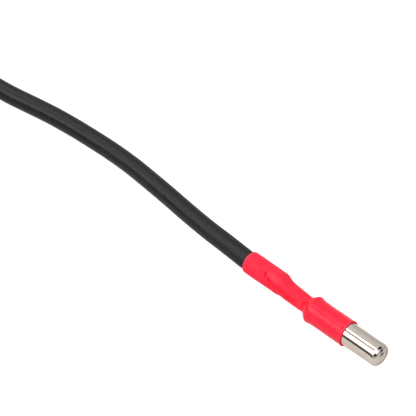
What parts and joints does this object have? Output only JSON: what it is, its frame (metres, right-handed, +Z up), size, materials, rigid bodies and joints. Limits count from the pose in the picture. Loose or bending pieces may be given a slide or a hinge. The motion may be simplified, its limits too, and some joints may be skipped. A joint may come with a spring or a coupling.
{
  "type": "temperature probe",
  "caption": "Cable temperature probe: a polished metal cap with a rounded end, joined by a red shrink sleeve to a black round cable whose spare length is tied in a hank.",
  "frame": {"origin": "on the surface the probe lies on, under the middle of the box round cap and shrink sleeve", "axes": "+X along the probe towards the cap's tip, +Z up; the cable leaves towards -X"},
  "size_m": [0.2375, 0.046, 0.0165],
  "materials": {
    "sheath_steel": "polished stainless steel",
    "sleeve_red": "semi-gloss red shrink tubing",
    "cable_black": "matte black PVC jacket",
    "resin": "cast resin",
    "bead": "epoxy-coated bead",
    "lead_wire": "tinned lead wire",
    "solder": "solder",
    "joint_sleeve": "ivory sleeving",
    "copper": "bare stranded copper",
    "core_brown": "brown core insulation",
    "core_blue": "blue core insulation",
    "tinned": "tinned strands",
    "tie_black": "black nylon"
  },
  "bodies": {
    "root": {"sheath": "sheath_steel", "potting": "resin", "thermistor_bead": "bead", "thermistor_lead_a": "lead_wire", "thermistor_lead_b": "lead_wire", "solder_joint_a": "solder", "solder_joint_b": "solder", "joint_sleeve_a": "joint_sleeve", "joint_sleeve_b": "joint_sleeve", "conductor_a": "copper", "conductor_b": "copper", "core_a": "core_brown", "core_b": "core_blue", "shrink_sleeve": "sleeve_red", "cable": "cable_black", "cable_hank": "cable_black", "cable_tail": "cable_black", "hank_tie": "tie_black", "tail_core_a": "core_brown", "tail_core_b": "core_blue", "tinned_end_a": "tinned", "tinned_end_b": "tinned"}
  },
  "joints": []
}
